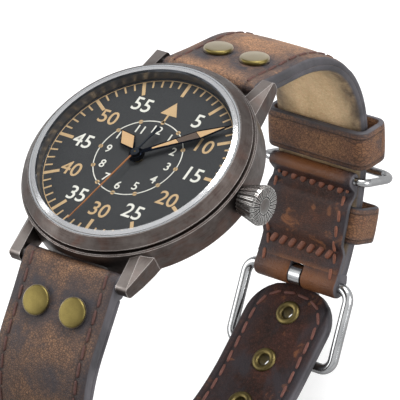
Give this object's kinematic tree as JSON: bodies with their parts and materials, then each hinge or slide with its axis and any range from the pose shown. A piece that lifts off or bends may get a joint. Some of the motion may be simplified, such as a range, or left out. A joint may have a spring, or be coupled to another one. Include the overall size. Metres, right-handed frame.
{
  "type": "pilot wrist watch",
  "caption": "Round pilot style wrist watch on a riveted leather strap closed into a loop, with wire buckle, leather and wire keepers, and a movement that drives the hands.",
  "frame": {"origin": "centre of the outer face of the case back", "axes": "+Z out through the dial, +Y to twelve o'clock, +X to the crown"},
  "size_m": [0.0465, 0.0918, 0.0793],
  "materials": {
    "case_steel": "worn dark satin steel with a brown-grey patina",
    "inner_steel": "satin steel",
    "buckle_steel": "polished wire steel",
    "sapphire": "clear polished crystal",
    "seal_rubber": "black rubber",
    "dial_paint": "matt charcoal paint with printed numerals",
    "holder_plastic": "pale moulded plastic",
    "plate_metal": "grained and nickel-plated",
    "wheel_brass": "gilt brass",
    "jewel": "polished red jewel",
    "hand_steel": "blued steel with a sand-coloured luminous fill",
    "second_copper": "copper-coloured needle",
    "strap_leather": "waxed brown leather with dark pull-up marks",
    "lining_leather": "smooth tan lining leather",
    "tail_lining_leather": "dark brown lining leather",
    "antique_brass": "aged brass"
  },
  "bodies": {
    "case": {"mid_case": "case_steel", "bezel": "case_steel", "crystal": "sapphire", "crystal_gasket": "seal_rubber", "rehaut_ring": "inner_steel", "dial": "dial_paint", "case_back": "case_steel", "case_back_gasket": "seal_rubber", "movement_holder": "holder_plastic", "mainplate": "plate_metal", "barrel_bridge": "plate_metal", "train_bridge": "plate_metal", "bridge_screws": "inner_steel", "train_jewels": "jewel", "balance_cock": "plate_metal", "rotor_bearing": "plate_metal", "crown_tube": "inner_steel", "spring_bar_12": "inner_steel", "spring_bar_6": "inner_steel"},
    "barrel_body": {"barrel": "wheel_brass"},
    "minute_body": {"center_wheel": "wheel_brass", "cannon_pinion": "wheel_brass", "minute_hand": "hand_steel"},
    "hour_body": {"hour_wheel": "wheel_brass", "hour_hand": "hand_steel"},
    "motion_body": {"minute_wheel": "wheel_brass"},
    "third_body": {"third_wheel": "wheel_brass"},
    "seconds_body": {"fourth_wheel": "wheel_brass", "second_hand": "second_copper"},
    "escape_body": {"escape_wheel": "inner_steel"},
    "pallet_body": {"pallet_fork": "inner_steel"},
    "balance_body": {"balance_wheel": "wheel_brass", "hairspring": "inner_steel"},
    "rotor_body": {"rotor": "plate_metal"},
    "winding_body": {"winding_pinion": "inner_steel", "sliding_pinion": "inner_steel"},
    "crown_body": {"crown": "case_steel", "crown_gasket": "seal_rubber", "winding_stem": "inner_steel"},
    "strap_12_body": {"strap_12_leather": "strap_leather", "strap_12_lining": "lining_leather", "strap_12_rivets": "antique_brass", "fixed_keeper": "strap_leather", "buckle_return_flap": "strap_leather"},
    "free_keeper_body": {"free_keeper": "strap_leather"},
    "ring_keeper_body": {"ring_keeper": "buckle_steel"},
    "buckle_frame_body": {"buckle_frame": "buckle_steel"},
    "buckle_prong_body": {"buckle_prong": "buckle_steel"},
    "strap_6_body": {"strap_6_leather": "strap_leather", "strap_6_lining": "tail_lining_leather", "strap_6_rivets": "antique_brass", "strap_eyelets": "antique_brass"}
  },
  "joints": [
    {"name": "seconds_turn", "type": "hinge", "parent": "case", "child": "seconds_body", "pos_m": [0, 0, 0.005], "axis": [0, 0, -1], "continuous": true},
    {"name": "minute_turn", "type": "hinge", "parent": "case", "child": "minute_body", "pos_m": [0, 0, 0.005], "axis": [0, 0, -1], "continuous": true},
    {"name": "hour_turn", "type": "hinge", "parent": "case", "child": "hour_body", "pos_m": [0, 0, 0.005], "axis": [0, 0, -1], "continuous": true},
    {"name": "motion_turn", "type": "hinge", "parent": "case", "child": "motion_body", "pos_m": [-0.00116, -0.00319, 0.0075], "axis": [0, 0, -1], "continuous": true},
    {"name": "third_turn", "type": "hinge", "parent": "case", "child": "third_body", "pos_m": [-0.00564, -0.00205, 0.005], "axis": [0, 0, -1], "continuous": true},
    {"name": "barrel_turn", "type": "hinge", "parent": "case", "child": "barrel_body", "pos_m": [0.00475, 0.00475, 0.005], "axis": [0, 0, -1], "continuous": true},
    {"name": "escape_turn", "type": "hinge", "parent": "case", "child": "escape_body", "pos_m": [0.0005, -0.00568, 0.005], "axis": [0, 0, -1], "continuous": true},
    {"name": "pallet_rock", "type": "hinge", "parent": "case", "child": "pallet_body", "pos_m": [0.0032, -0.0062, 0.0048], "axis": [0, 0, 1], "range_deg": [-5, 5]},
    {"name": "balance_swing", "type": "hinge", "parent": "case", "child": "balance_body", "pos_m": [0.00604, -0.00676, 0.0043], "axis": [0, 0, 1], "range_deg": [-135, 135], "stiffness_Nm_per_rad": 0.0000003},
    {"name": "rotor_turn", "type": "hinge", "parent": "case", "child": "rotor_body", "pos_m": [0, 0, 0.0023], "axis": [0, 0, -1], "continuous": true},
    {"name": "crown_turn", "type": "hinge", "parent": "case", "child": "winding_body", "pos_m": [0.022, 0, 0.006], "axis": [1, 0, 0], "continuous": true},
    {"name": "crown_pull", "type": "slide", "parent": "winding_body", "child": "crown_body", "axis": [1, 0, 0], "range_m": [0, 0.001]},
    {"name": "strap_12_hinge", "type": "hinge", "parent": "case", "child": "strap_12_body", "pos_m": [0, 0.0222, 0.0052], "axis": [1, 0, 0], "range_deg": [0, 60]},
    {"name": "strap_6_hinge", "type": "hinge", "parent": "case", "child": "strap_6_body", "pos_m": [0, -0.0222, 0.0052], "axis": [1, 0, 0], "range_deg": [-1, 0.4]},
    {"name": "free_keeper_slide", "type": "slide", "parent": "strap_12_body", "child": "free_keeper_body", "axis": [0, 0.4565, 0.8897], "range_m": [0, 0.003]},
    {"name": "ring_keeper_hinge", "type": "hinge", "parent": "strap_12_body", "child": "ring_keeper_body", "pos_m": [0, 0.03486, -0.03494], "axis": [1, 0, 0], "range_deg": [-20, 8]},
    {"name": "buckle_hinge", "type": "hinge", "parent": "strap_12_body", "child": "buckle_frame_body", "pos_m": [0, 0.02145, -0.0505], "axis": [1, 0, 0], "range_deg": [0, 35]},
    {"name": "prong_hinge", "type": "hinge", "parent": "buckle_frame_body", "child": "buckle_prong_body", "pos_m": [0, 0.02145, -0.0505], "axis": [1, 0, 0], "range_deg": [0, 15]}
  ],
  "couplings": [
    {"joint": "seconds_turn", "follows": "minute_turn", "ratio": 60},
    {"joint": "hour_turn", "follows": "minute_turn", "ratio": 0.083333},
    {"joint": "motion_turn", "follows": "minute_turn", "ratio": -0.33333},
    {"joint": "third_turn", "follows": "minute_turn", "ratio": -8},
    {"joint": "barrel_turn", "follows": "minute_turn", "ratio": -0.14286},
    {"joint": "escape_turn", "follows": "minute_turn", "ratio": -600}
  ]
}
